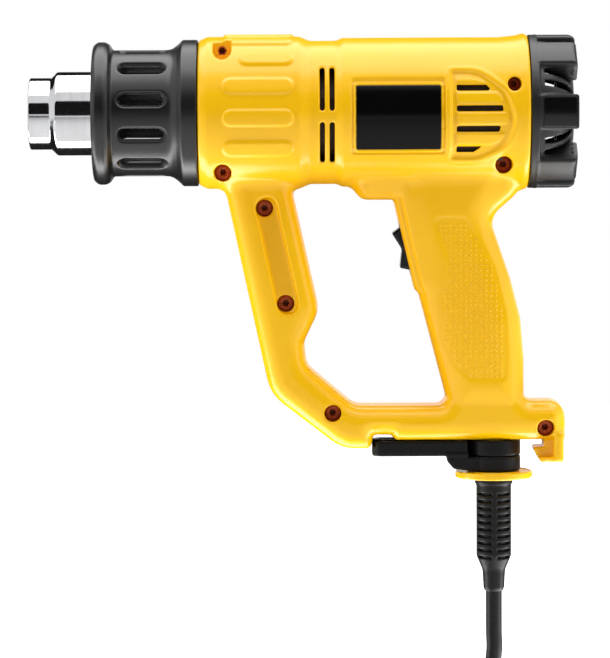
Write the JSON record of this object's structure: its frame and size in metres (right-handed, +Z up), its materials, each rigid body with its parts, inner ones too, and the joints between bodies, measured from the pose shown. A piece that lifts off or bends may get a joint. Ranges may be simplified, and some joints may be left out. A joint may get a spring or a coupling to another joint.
{
  "type": "hot air tool",
  "caption": "Hand-held hot air tool: a barrel casing with a D-shaped handle, a steel outlet in a slotted guard, a rocker switch, folding support arms under the base and a mains cord.",
  "frame": {"origin": "centre of the grip, in the middle plane where the two casing halves meet", "axes": "+Z up along the standing grip, the outlet points along -X and the end cap along +X, -Y is the tool's left side"},
  "size_m": [0.2544, 0.1589, 0.3381],
  "materials": {
    "casing": "satin moulded plastic, yellow",
    "black_trim": "fine-grained black moulding",
    "badge": "smooth black plate, bare",
    "outlet_steel": "polished steel",
    "fasteners": "zinc-plated steel",
    "motor_steel": "plain steel",
    "heater_wire": "oxidised resistance wire",
    "mica": "pressed mica sheet",
    "ceramic": "unglazed ceramic",
    "board": "green circuit board",
    "cord_rubber": "matt black rubber",
    "dial": "dark grey moulding",
    "lead_red": "red silicone sleeve",
    "pins": "nickel-plated brass"
  },
  "bodies": {
    "casing": {"left_shell": "casing", "right_shell": "casing", "case_screw_1": "fasteners", "case_screw_2": "fasteners", "case_screw_3": "fasteners", "case_screw_4": "fasteners", "case_screw_5": "fasteners", "case_screw_6": "fasteners", "case_screw_7": "fasteners", "case_screw_8": "fasteners", "left_badge": "badge", "right_badge": "badge", "outlet_nozzle": "outlet_steel", "mica_sleeve": "mica", "heater_front_disc": "ceramic", "heater_rear_disc": "ceramic", "heater_core": "ceramic", "heater_coil": "heater_wire", "thermal_cutout": "fasteners", "element_lead_1": "lead_red", "element_lead_2": "cord_rubber", "air_duct": "mica", "fan_shroud": "black_trim", "motor_case": "motor_steel", "motor_mount": "black_trim", "end_cap": "black_trim", "control_board": "board", "board_screw_1": "fasteners", "board_screw_2": "fasteners", "dial_potentiometer": "motor_steel", "switch_body": "black_trim", "suppression_capacitor": "dial", "rectifier_board": "board", "terminal_block": "ceramic", "mains_lead_1": "lead_red", "mains_lead_2": "cord_rubber", "cord_clamp": "dial", "clamp_screw_1": "fasteners", "clamp_screw_2": "fasteners", "inner_cord": "cord_rubber", "stand_pivot": "casing", "retaining_disc": "casing", "strain_relief": "cord_rubber", "power_cord": "cord_rubber", "cord_coil": "cord_rubber", "cord_tie": "cord_rubber", "cord_tail": "cord_rubber", "plug_body": "cord_rubber", "plug_pin_1": "pins", "plug_pin_2": "pins"},
    "guard": {"heat_guard": "black_trim"},
    "rocker": {"switch_rocker": "black_trim"},
    "left_arm": {"left_support_arm": "black_trim"},
    "right_arm": {"right_support_arm": "black_trim"},
    "dial": {"temperature_dial": "dial", "dial_shaft": "fasteners"},
    "fan": {"fan_impeller": "black_trim", "motor_shaft": "fasteners"}
  },
  "joints": [
    {"name": "guard_slide", "type": "slide", "parent": "casing", "child": "guard", "axis": [-1, 0, 0], "range_m": [0, 0.085]},
    {"name": "rocker_tilt", "type": "hinge", "parent": "casing", "child": "rocker", "pos_m": [-0.02719, 0, 0.02509], "axis": [0, 1, 0], "range_deg": [-12, 12]},
    {"name": "left_arm_swing", "type": "hinge", "parent": "casing", "child": "left_arm", "pos_m": [0.0112, 0, -0.0768], "axis": [0, 0, 1], "range_deg": [0, 115]},
    {"name": "right_arm_swing", "type": "hinge", "parent": "casing", "child": "right_arm", "pos_m": [0.0112, 0, -0.0693], "axis": [0, 0, 1], "range_deg": [-115, 0]},
    {"name": "dial_turn", "type": "hinge", "parent": "casing", "child": "dial", "pos_m": [0.0442, 0, 0.0881], "axis": [1, 0, 0], "range_deg": [0, 270]},
    {"name": "fan_spin", "type": "hinge", "parent": "casing", "child": "fan", "pos_m": [-0.017, 0, 0.0881], "axis": [1, 0, 0], "continuous": true}
  ]
}
